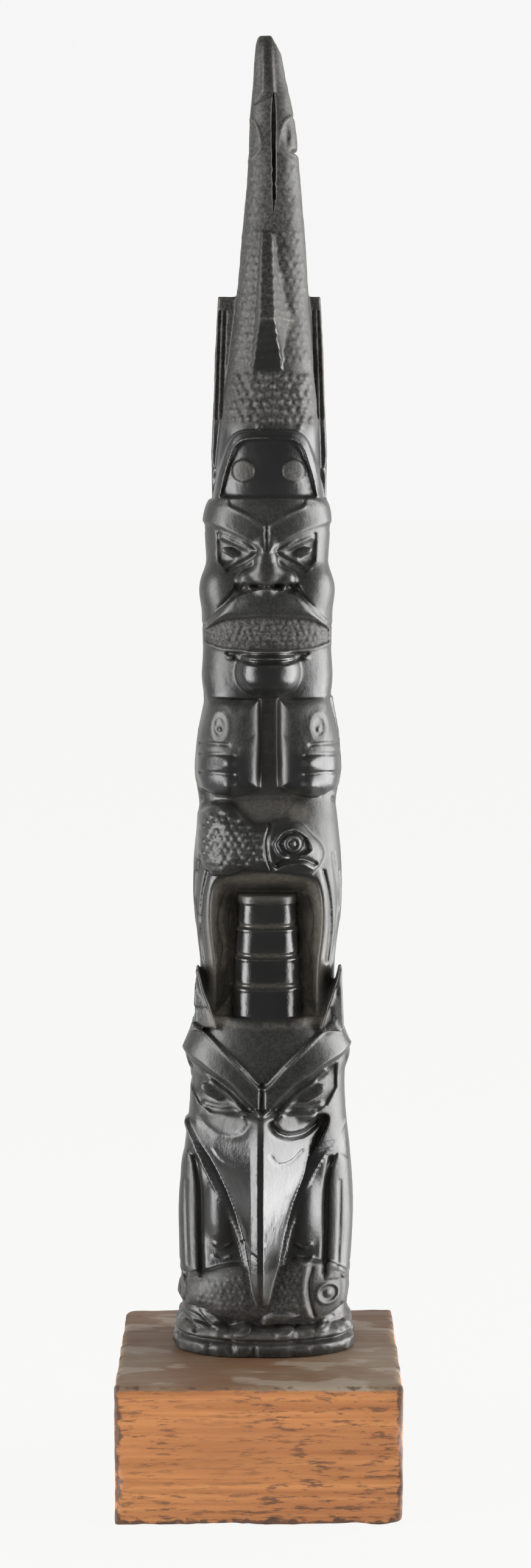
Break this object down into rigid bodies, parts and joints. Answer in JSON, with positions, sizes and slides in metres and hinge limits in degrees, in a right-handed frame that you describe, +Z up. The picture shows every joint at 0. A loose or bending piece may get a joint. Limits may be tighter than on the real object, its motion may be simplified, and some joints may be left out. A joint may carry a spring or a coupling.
{
  "type": "totem pole",
  "caption": "Small carved dark stone totem pole of stacked animal figures, with a tall pointed top, standing on a square wooden block.",
  "frame": {"origin": "centre of the wooden block's underside, on the surface that the object stands on", "axes": "+Z up along the pole, -Y towards the carved front, +X to the right of someone who faces the carving"},
  "size_m": [0.085, 0.085, 0.437],
  "materials": {
    "argillite": "near-black carved argillite, polished by handling, matt where it is stippled, with brown dust in the recesses",
    "stained_wood": "orange-brown stained softwood with horizontal grain, dark worn edges and a dull, dusty top"
  },
  "bodies": {
    "root": {"argillite_pole": "argillite", "wood_block": "stained_wood"}
  },
  "joints": []
}
